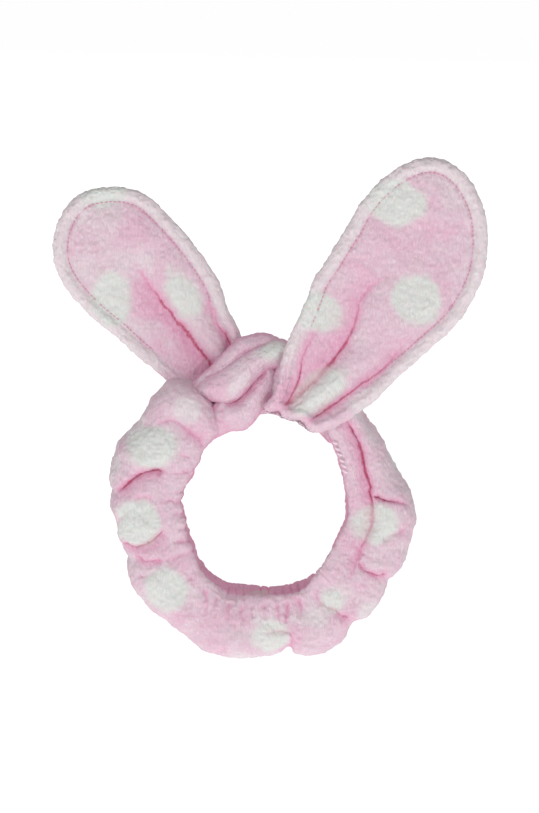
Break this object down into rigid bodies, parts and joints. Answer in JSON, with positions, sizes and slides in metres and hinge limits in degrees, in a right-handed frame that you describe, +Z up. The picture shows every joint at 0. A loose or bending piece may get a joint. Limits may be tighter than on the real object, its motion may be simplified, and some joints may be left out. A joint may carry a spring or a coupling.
{
  "type": "spa headband",
  "caption": "Plush elastic spa headband in dotted fleece, tied in a thick knot on top, with tall bendable wired ears.",
  "frame": {"origin": "centre of the relaxed head opening", "axes": "+Z up through the knot towards the ears, -Y the front, +Y along the axis of the head opening, +X to the viewer's right"},
  "size_m": [0.3491, 0.076, 0.4101],
  "materials": {
    "plush_pink": "short coral-fleece pile, pink with white dots",
    "elastic_white": "woven rubber-core elastic, matt",
    "seam_pink": "overlocked seam allowance, slightly shiny polyester thread",
    "thread_pink": "polyester sewing thread, slightly shiny",
    "ear_wire": "soft annealed wire",
    "crimp_metal": "plain"
  },
  "bodies": {
    "knot_band": {"left_shoulder_outer_panel": "plush_pink", "left_shoulder_inner_panel": "plush_pink", "left_shoulder_edge_seams": "seam_pink", "right_shoulder_outer_panel": "plush_pink", "right_shoulder_inner_panel": "plush_pink", "right_shoulder_edge_seams": "seam_pink", "left_side_seam": "seam_pink", "right_side_seam": "seam_pink", "knot_upper_strand": "plush_pink", "knot_lower_strand": "plush_pink", "knot_front_wrap": "plush_pink", "knot_rear_strand": "plush_pink"},
    "back_band": {"back_outer_panel": "plush_pink", "back_inner_panel": "plush_pink", "back_edge_seams": "seam_pink", "elastic_strip": "elastic_white", "left_elastic_tack": "thread_pink", "right_elastic_tack": "thread_pink"},
    "left_neck": {"left_ear_neck": "plush_pink", "left_ear_wire_tail": "ear_wire"},
    "left_ear": {"left_ear_front_panel": "plush_pink", "left_ear_back_panel": "plush_pink", "left_ear_topstitch": "thread_pink", "left_ear_wire": "ear_wire", "left_ear_wire_sleeve": "crimp_metal"},
    "right_neck": {"right_ear_neck": "plush_pink", "right_ear_wire_tail": "ear_wire"},
    "right_ear": {"right_ear_front_panel": "plush_pink", "right_ear_back_panel": "plush_pink", "right_ear_topstitch": "thread_pink", "right_ear_wire": "ear_wire", "right_ear_wire_sleeve": "crimp_metal"}
  },
  "joints": [
    {"name": "band_stretch", "type": "slide", "parent": "knot_band", "child": "back_band", "axis": [0, 0, -1], "range_m": [0, 0.07], "stiffness_N_per_m": 150, "springref_m": -0.01},
    {"name": "left_ear_splay", "type": "hinge", "parent": "knot_band", "child": "left_neck", "pos_m": [-0.04, 0.005, 0.109], "axis": [0, 1, 0], "range_deg": [-12, 10]},
    {"name": "left_ear_fold", "type": "hinge", "parent": "left_neck", "child": "left_ear", "pos_m": [-0.0533, 0.005, 0.12525], "axis": [0.7738, 0, 0.6334], "range_deg": [-30, 80]},
    {"name": "right_ear_splay", "type": "hinge", "parent": "knot_band", "child": "right_neck", "pos_m": [0.028, -0.0355, 0.082], "axis": [0, 1, 0], "range_deg": [-10, 14]},
    {"name": "right_ear_fold", "type": "hinge", "parent": "right_neck", "child": "right_ear", "pos_m": [0.04755, -0.0355, 0.11341], "axis": [0.849, 0, -0.5284], "range_deg": [-30, 80]}
  ]
}
